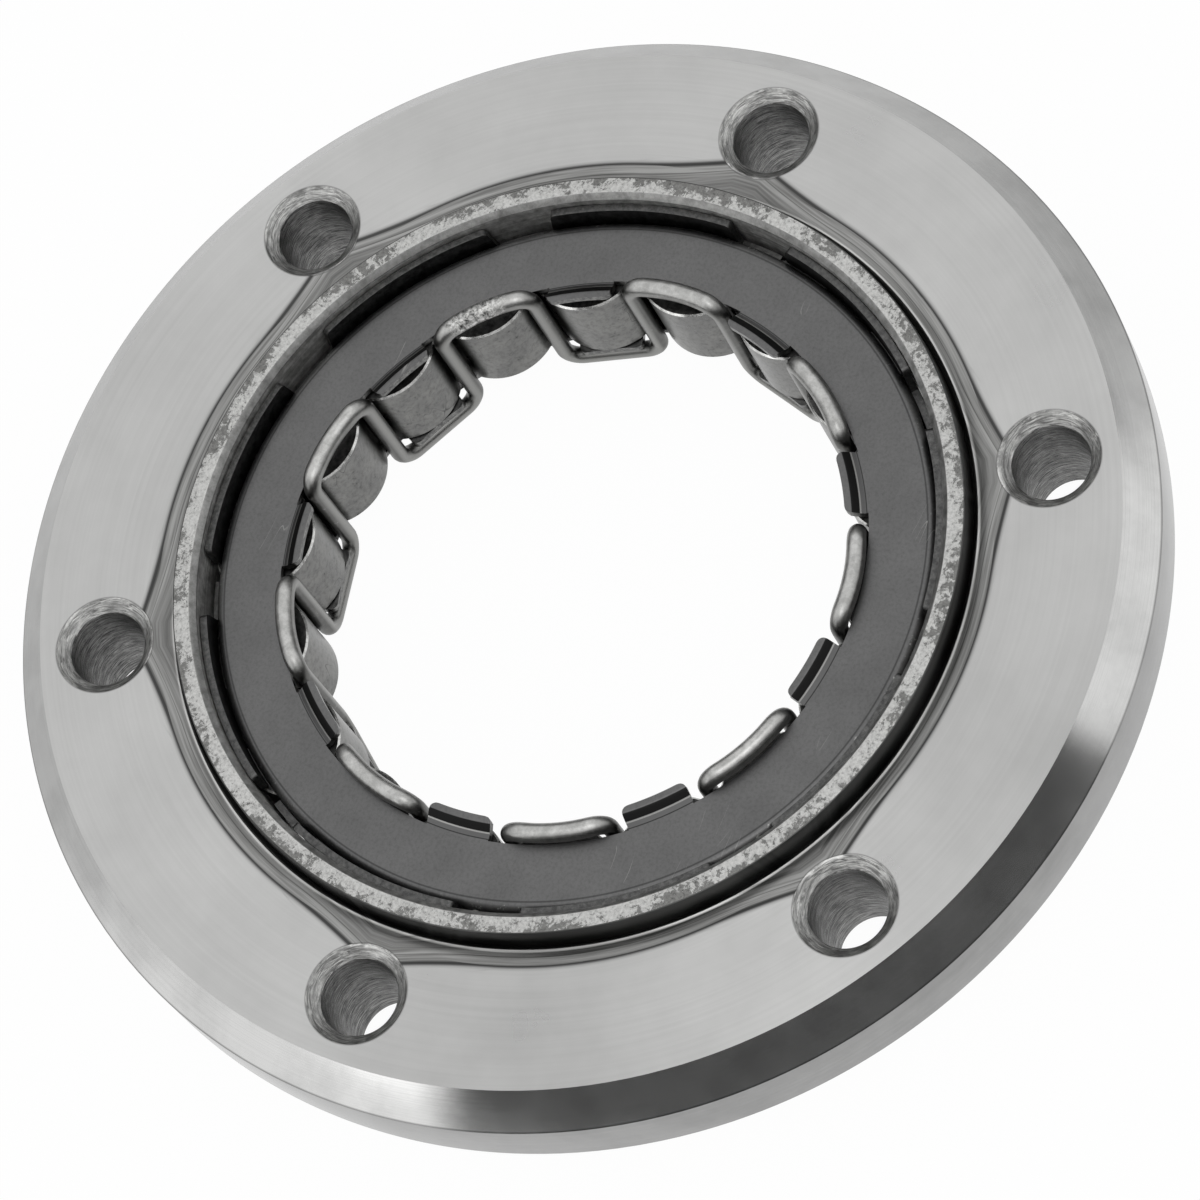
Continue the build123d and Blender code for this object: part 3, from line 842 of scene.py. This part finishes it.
def makeCollarLook():
    # the collar's ground end: pale where the wheel cut, with ragged darker islands of the hardening skin left between
    look, tree, shader = steelLook("groundCollarEnd", 0.3)
    spots = placesOn(tree, shader, True)
    skin = addNode(tree, "TexNoise", {"Vector": spots["point"], "Scale": 1 / raceSteel["islandMm"], "Detail": 9.0,
                                      "Roughness": 0.78, "Distortion": 0.3})
    broad = addNode(tree, "TexNoise", {"Vector": spots["point"], "Scale": 0.16, "Detail": 2.0})
    # more islands towards the outside, and in some stretches of the ring
    level = skin
    for lift in ((spots["r"], *raceSteel["collarR"], -0.07, 0.06), (broad, 0.35, 0.65, -0.07, 0.06)):
        level = addNode(tree, "Math", (level, addNode(tree, "MapRange", lift)), operation="ADD")
    pale, dark = raceSteel["collar"]
    tone = addNode(tree, "ValToRGB", (level,),
                   stops=[(0.0, "#d6d6d4"), (0.44, pale), (0.515, pale), (0.525, "#5e5e5d"), (0.545, dark),
                          (0.6, "#7e7e7c"), (0.7, dark), (1.0, dark)])
    grain = addNode(tree, "TexNoise", {"Vector": spots["point"], "Scale": 3.4, "Detail": 4.0, "Roughness": 0.7})
    speck = addNode(tree, "ValToRGB", (grain,), stops=[(0.3, "#9a9a9a"), (0.42, "#e2e2e2"), (0.6, "#ffffff")])
    finishWith(tree, shader, tone, [(1.0, speck, "MULTIPLY")], level, raceSteel["collarRough"], level, depth=0.03)
    return look


def makeGrooveLook():
    # the form-turned groove and the collar's wall, with rings that follow the groove
    look, tree, shader = steelLook("turnedGroove", 0.4)
    spots = placesOn(tree, shader, True)
    colour, rings = grooveTone(tree, spots, addNode(tree, "Attribute", out="Fac", attribute_name="edgeGap"))
    finishWith(tree, shader, colour, [], rings, raceSteel["grooveRough"], rings, depth=0.01)
    return look


def makeHoleLook():
    # drilled and sunk by hand: rough scores round the wall, drawn at twice their real spacing, with dark residue in
    # them; the wall darkens downwards with painted shade and the sink is paler
    look, tree, shader = steelLook("drilledHole")
    spots = placesOn(tree, shader)
    laid = addNode(tree, "Mapping", {"Vector": spots["point"], "Rotation": (0.16, -0.1, 0),
                                     "Scale": (0.5, 0.5, 1 / raceSteel["scoreMm"])})
    scores = addNode(tree, "TexNoise", {"Vector": laid, "Scale": 1.0, "Detail": 4.0, "Roughness": 0.7,
                                        "Distortion": 1.0})
    residue = addNode(tree, "TexNoise", {"Vector": spots["point"], "Scale": 0.55, "Detail": 4.0, "Roughness": 0.65})
    base = addNode(tree, "ValToRGB", (scores,), stops=list(zip((0.38, 0.48, 0.6), raceSteel["hole"])))
    # painted shade: the wall darker towards the bottom of the hole
    holeDepthShade = addNode(tree, "ValToRGB", (addNode(tree, "MapRange", (spots["z"], *raceSteel["holeDeepZ"])),),
                   stops=[(0.0, "#b8b8b8"), (1.0, "#ffffff")])
    shade = addNode(tree, "ValToRGB", (residue,), stops=[(0.35, "#c2c2c2"), (0.58, "#ffffff")])
    onSink = addNode(tree, "MapRange", (spots["z"], raceSteel["sinkZ"], raceSteel["sinkZ"] + 0.1, 0.0, 0.22))
    layers = [(1.0, holeDepthShade, "MULTIPLY"), (1.0, shade, "MULTIPLY"), (onSink, "#d8d8d6", "MIX")]
    finishWith(tree, shader, base, layers, residue, raceSteel["holeRough"], scores, depth=0.05)
    return look


def makeBoreLook():
    # ground bore and its broken edge: mid grey, mottled where oil has dried
    look, tree, shader = steelLook("groundBore", 0.2)
    spots = placesOn(tree, shader, True)
    oil = addNode(tree, "TexNoise", {"Vector": spots["point"], "Scale": 0.9, "Detail": 7.0, "Roughness": 0.7})
    rings = ringNoise(tree, spots, spots["rows"], raceSteel["boreRowsPerMm"], arcs=2.0, detail=2.0)
    base = addNode(tree, "ValToRGB", (oil,), stops=list(zip((0.32, 0.64), raceSteel["bore"])))
    lines = addNode(tree, "ValToRGB", (rings,), stops=[(0.38, "#e0e0e0"), (0.56, "#ffffff")])
    broken = addNode(tree, "MapRange", (spots["z"], raceSteel["brokenZ"], raceSteel["brokenZ"] + 0.15))
    layers = [(1.0, lines, "MULTIPLY"), (broken, "#c6c6c6", "MULTIPLY")]
    finishWith(tree, shader, base, layers, oil, raceSteel["boreRough"], oil, depth=0.02)
    return look


plateSteel = {
    "tones": ("#686868", "#717171"), "rough": (0.36, 0.46), "creaseR": 38.5, "creaseW": 0.16, "creaseShade": "#2c2c2c",
    "rimR": 38.7, "rub": "#b4b4b2", "scratch": "#9a9a98", "stepR": (30.5, 32.3), "stepZ": 14.56,
}


def makePlateLook():
    # blackened spring-steel sheet, tumbled: even satin dark grey, painted shade in a dark line along the fine crease
    # where its rim was drawn down, bright specks on that rim and a few pale scratches
    p = plateSteel
    look, tree, shader = steelLook("blackenedSpringSheet")
    spots = placesOn(tree, shader)
    clouds = addNode(tree, "TexNoise", {"Vector": spots["point"], "Scale": 0.14, "Detail": 5.0, "Roughness": 0.62})
    grain = addNode(tree, "TexNoise", {"Vector": spots["point"], "Scale": 2.6, "Detail": 5.0, "Roughness": 0.72})
    base = addNode(tree, "ValToRGB", (clouds,), stops=list(zip((0.34, 0.62), p["tones"])))
    fine = addNode(tree, "ValToRGB", (grain,), stops=[(0.3, "#e6e6e6"), (0.55, "#ffffff")])
    # painted shade: a dark line along the crease
    fromCrease = addNode(tree, "Math", (spots["r"], p["creaseR"]), operation="SUBTRACT")
    off = addNode(tree, "Math", (fromCrease,), operation="ABSOLUTE")
    creaseShade = addNode(tree, "MapRange", (off, 0.02, p["creaseW"], 0.6, 0.0), interpolation_type="SMOOTHSTEP")
    onRim = addNode(tree, "MapRange", (spots["r"], p["rimR"], p["rimR"] + 0.3))
    rubs = addNode(tree, "TexNoise", {"Vector": spots["point"], "Scale": 1.3, "Detail": 6.0, "Roughness": 0.75})
    rubbed = addNode(tree, "Math", (onRim, addNode(tree, "MapRange", (rubs, 0.6, 0.66))), operation="MULTIPLY")
    hair = scratchLines(tree, spots, size=16.0, turnDeg=-20, squeeze=9.0, width=0.004, cover=0.62)
    # on the raised tongues the step is painted black as its dark reflection, the bend below it gets a painted
    # highlight line, and the slope starts at a painted shade line
    raised = addNode(tree, "Math", (spots["z"], p["stepZ"]), operation="GREATER_THAN")
    across = addNode(tree, "MapRange", (spots["r"], *p["stepR"]))
    stepShadeAndHighlight = addNode(tree, "ValToRGB", (across,),
                       stops=[(0.1, "#242424"), (0.51, "#242424"), (0.535, "#aeaeac"), (0.58, "#aeaeac"),
                              (0.61, "#6a6a6a"), (0.83, "#6a6a6a"), (0.86, "#383838"), (0.89, "#383838")])
    stepShare = addNode(tree, "ValToRGB", (across,),
                        stops=[(0.08, "#000000"), (0.12, "#ffffff"), (0.89, "#ffffff"), (0.925, "#000000")])
    onStepShading = addNode(tree, "Math", (stepShare, raised), operation="MULTIPLY")
    layers = [(1.0, fine, "MULTIPLY"), (creaseShade, p["creaseShade"], "MIX"), (rubbed, p["rub"], "MIX"),
              (hair, p["scratch"], "MIX"), (onStepShading, stepShadeAndHighlight, "MIX")]
    finishWith(tree, shader, base, layers, clouds, p["rough"], grain, depth=0.01)
    return look


wireSteel = {
    "tones": ("#5c5c5b", "#6c6c6a"), "bright": "#acacac", "rough": (0.32, 0.4),
    # inner and crown are the tones of painted highlights on the legs and the crossings
    "inner": "#8e8e8c", "innerR": (30.18, 30.36), "crown": ("#aaaaa8", "#cacac8"), "crownZ": (15.5, 16.6),
    "weldDeg": 45.0, "weldR": 32.2, "weldZ": 16.4, "weldReach": (4.6, 5.9), "weld": ("#3a3a3a", "#9a9a98", "#e0e0de"),
}


def makeWireLook():
    # drawn spring wire, tumbled: satin grey with small bright rubs; one front crossing carries the dressed weld
    w = wireSteel
    look, tree, shader = steelLook("drawnSpringWire")
    spots = placesOn(tree, shader)
    rub = addNode(tree, "TexNoise", {"Vector": spots["point"], "Scale": 0.8, "Detail": 6.0, "Roughness": 0.72})
    base = addNode(tree, "ValToRGB", (rub,), stops=list(zip((0.36, 0.62, 0.7), (*w["tones"], w["bright"]))))
    # painted highlights: a pale line down the legs' inner side, and the crossings paler on their crowns
    onInnerHighlight = addNode(tree, "MapRange", (spots["r"], *w["innerR"], 1.0, 0.0))
    onCrownHighlight = addNode(tree, "MapRange", (spots["z"], *w["crownZ"]))
    crownHighlight = addNode(tree, "ValToRGB", (rub,), stops=list(zip((0.4, 0.62), w["crown"])))
    weldAt = (*polar(w["weldR"], math.radians(w["weldDeg"])), w["weldZ"])
    away = addNode(tree, "VectorMath", (spots["point"], weldAt), "Value", operation="DISTANCE")
    ragged = addNode(tree, "Math", (rub, 4.0, away), operation="MULTIPLY_ADD")
    onWeld = addNode(tree, "MapRange", (ragged, *w["weldReach"], 1.0, 0.0))
    crust = addNode(tree, "TexNoise", {"Vector": spots["point"], "Scale": 1.8, "Detail": 6.0, "Roughness": 0.75,
                                       "Distortion": 0.6})
    weldTone = addNode(tree, "ValToRGB", (crust,), stops=list(zip((0.36, 0.46, 0.58), w["weld"])))
    raised = addNode(tree, "Math", (crust, onWeld), operation="MULTIPLY")
    height = addNode(tree, "Math", (raised, 6.0, rub), operation="MULTIPLY_ADD")
    layers = [(onInnerHighlight, w["inner"], "MIX"), (onCrownHighlight, crownHighlight, "MIX"), (onWeld, weldTone, "MIX")]
    finishWith(tree, shader, base, layers, rub, w["rough"], height, depth=0.02)
    return look


camSteel = {"tones": ("#6e6e6d", "#7e7e7c"), "rough": (0.26, 0.38), "scratch": "#3c3c3c"}


def makeSpragLook():
    # bearing-steel cam, barrel finished: even mid grey with small pits, cross marks and a few hair lines
    look, tree, shader = steelLook("barrelledSprag")
    spots = placesOn(tree, shader)
    pits = addNode(tree, "TexNoise", {"Vector": spots["point"], "Scale": 1.7, "Detail": 6.0, "Roughness": 0.72})
    clouds = addNode(tree, "TexNoise", {"Vector": spots["point"], "Scale": 0.35, "Detail": 3.0})
    base = addNode(tree, "ValToRGB", (clouds,), stops=list(zip((0.36, 0.62), camSteel["tones"])))
    speck = addNode(tree, "ValToRGB", (pits,), stops=[(0.3, "#7a7a7a"), (0.37, "#d8d8d8"), (0.55, "#ffffff")])
    hair = scratchLines(tree, spots, size=7.0, turnDeg=60, squeeze=7.0, width=0.005, cover=0.585)
    layers = [(1.0, speck, "MULTIPLY"), (hair, camSteel["scratch"], "MIX")]
    finishWith(tree, shader, base, layers, clouds, camSteel["rough"], pits, depth=0.012)
    return look


# finishes of one even mottling: noise of perMm, detail and grit runs from the first tone to the second over its reach
mottled = {
    # the outer cage's sheet: darker, mottled evenly
    # blackened like the plates, and darker than them by painted shade
    "blackenedCageSheetPaintedShade": {"tones": ("#262626", "#484848"), "reach": (0.38, 0.62), "perMm": 1.1, "detail": 6.0,
                           "grit": 0.7, "rough": (0.3, 0.42), "depth": 0.012},
    # the sheets' punched edges: bare, paler than their faces, broken up by burr specks
    "punchedPlateEdge": {"tones": ("#4e4e4e", "#8c8c8a"), "reach": (0.4, 0.66), "perMm": 1.9, "detail": 6.0,
                         "grit": 0.74, "rough": (0.26, 0.4), "depth": 0.03},
    "punchedCageEdge": {"tones": ("#4a4a4a", "#6c6c6b"), "reach": (0.4, 0.66), "perMm": 1.9, "detail": 6.0,
                        "grit": 0.74, "rough": (0.26, 0.4), "depth": 0.03},
    # the sprag's cut ends, darkened with painted shade, and its broken edges, which the barrelling rubs bright and a
    # painted highlight makes brighter still
    "spragEndPaintedShade": {"tones": ("#343434", "#545453"), "reach": (0.36, 0.62), "perMm": 1.5, "detail": 5.0,
                    "grit": 0.68, "rough": (0.34, 0.46), "depth": 0.012},
    "rubbedSpragEdgeHighlight": {"tones": ("#a8a8a6", "#e4e4e2"), "reach": (0.36, 0.62), "perMm": 1.5, "detail": 5.0,
                        "grit": 0.68, "rough": (0.16, 0.28), "depth": 0.012},
}


def mottledLook(name):
    m = mottled[name]
    look, tree, shader = steelLook(name)
    spots = placesOn(tree, shader)
    wear = addNode(tree, "TexNoise", {"Vector": spots["point"], "Scale": m["perMm"], "Detail": m["detail"],
                                      "Roughness": m["grit"]})
    base = addNode(tree, "ValToRGB", (wear,), stops=list(zip(m["reach"], m["tones"])))
    finishWith(tree, shader, base, [], wear, m["rough"], wear, m["depth"])
    return look


raceLooks = [makeFaceLook(), makeEdgeLook(), makeCollarLook(), makeGrooveLook(), makeHoleLook(), makeBoreLook()]
spragLooks = [makeSpragLook(), mottledLook("spragEndPaintedShade"), mottledLook("rubbedSpragEdgeHighlight")]
plateLooks = [makePlateLook(), mottledLook("punchedPlateEdge")]
cageLooks = [mottledLook("blackenedCageSheetPaintedShade"), mottledLook("punchedCageEdge")]
print("finishes are made")

makeHousing(raceLooks)
makeSpring([makeWireLook()])
makeSprags(spragLooks)
makeFrontPlate(plateLooks)
makeRearPlate(plateLooks)
makeOuterCage(cageLooks)
print("all pieces are made")
